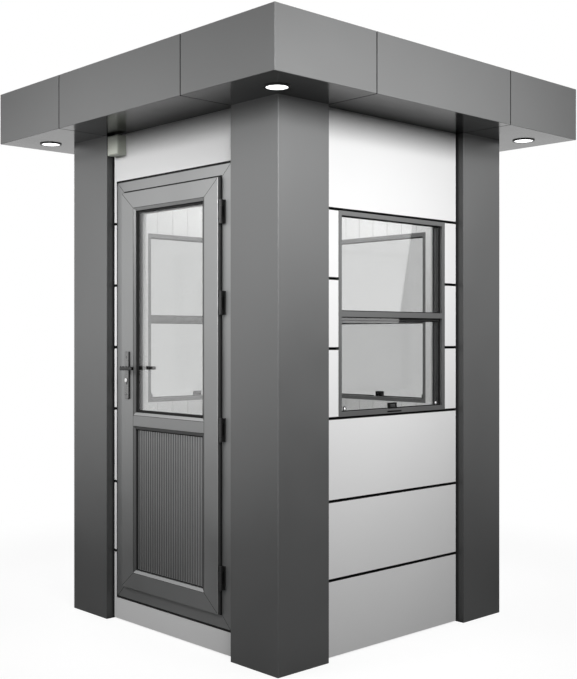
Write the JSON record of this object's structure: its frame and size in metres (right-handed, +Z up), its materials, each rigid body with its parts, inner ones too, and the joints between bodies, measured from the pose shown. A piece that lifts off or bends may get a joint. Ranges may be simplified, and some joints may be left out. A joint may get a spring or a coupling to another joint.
{
  "type": "composite guard cabin",
  "caption": "Square guard cabin with corner columns, white cladding, a canopy with downlights, a half-glazed door that swings out and fixed windows.",
  "frame": {"origin": "on the ground at the centre of the square plan", "axes": "+Z up; the door is in the -Y wall; +X to the right as seen by someone facing the door"},
  "size_m": [2.03, 2.03, 2.58],
  "materials": {
    "grey_cladding": "satin powder coat",
    "white_cladding": "satin coated panel",
    "wall_core": "dark foam core and joint backing",
    "white_lining": "matt white boards",
    "grey_frame": "satin coated profile",
    "clear_glass": "clear float glass",
    "black_trim": "satin black",
    "black_rubber": "matt seal",
    "satin_steel": "dark satin steel",
    "light_lens": "lit opal lens",
    "pale_plastic": "moulded housing",
    "galvanised_base": "galvanised steel",
    "floor_deck": "sheet flooring"
  },
  "bodies": {
    "cabin": {"back_cladding": "white_cladding", "back_left_column": "grey_cladding", "back_right_column": "grey_cladding", "back_wall": "wall_core", "back_window_frame": "grey_frame", "back_window_glass": "clear_glass", "base_joists": "galvanised_base", "canopy_corners": "grey_cladding", "canopy_sides": "grey_cladding", "ceiling": "white_lining", "door_frame_jambs": "grey_frame", "door_frame_rails": "grey_frame", "downlight_lenses": "light_lens", "downlight_rings": "black_trim", "floor_deck": "floor_deck", "front_cladding": "white_cladding", "front_left_column": "grey_cladding", "front_right_column": "grey_cladding", "front_wall": "wall_core", "hinge_frame_halves": "black_trim", "left_cladding": "white_cladding", "left_wall": "wall_core", "left_window_frame": "grey_frame", "left_window_glass": "clear_glass", "right_cladding": "white_cladding", "right_wall": "wall_core", "right_window_frame": "grey_frame", "right_window_glass": "clear_glass", "roof_core": "wall_core", "roof_sheet": "grey_cladding", "sensor_box": "pale_plastic", "wall_lining": "white_lining", "window_latches": "black_trim", "window_seals": "black_rubber"},
    "door": {"hinge_leaf_halves": "black_trim", "door_stiles": "grey_frame", "door_rails": "grey_frame", "door_beads": "grey_frame", "door_glass": "clear_glass", "door_panel": "grey_frame", "handle_plates": "satin_steel", "lock_cylinder": "satin_steel", "glass_spacer": "black_rubber"},
    "handle": {"outer_lever": "satin_steel", "inner_lever": "black_trim", "handle_spindle": "satin_steel"}
  },
  "joints": [
    {"name": "door_swing", "type": "hinge", "parent": "cabin", "child": "door", "pos_m": [0.371, -0.73, 1.1], "axis": [0, 0, 1], "range_deg": [0, 110]},
    {"name": "handle_turn", "type": "hinge", "parent": "door", "child": "handle", "pos_m": [-0.306, -0.7065, 1.213], "axis": [0, 1, 0], "range_deg": [0, 45], "stiffness_Nm_per_rad": 2, "springref_deg": -34.38}
  ]
}
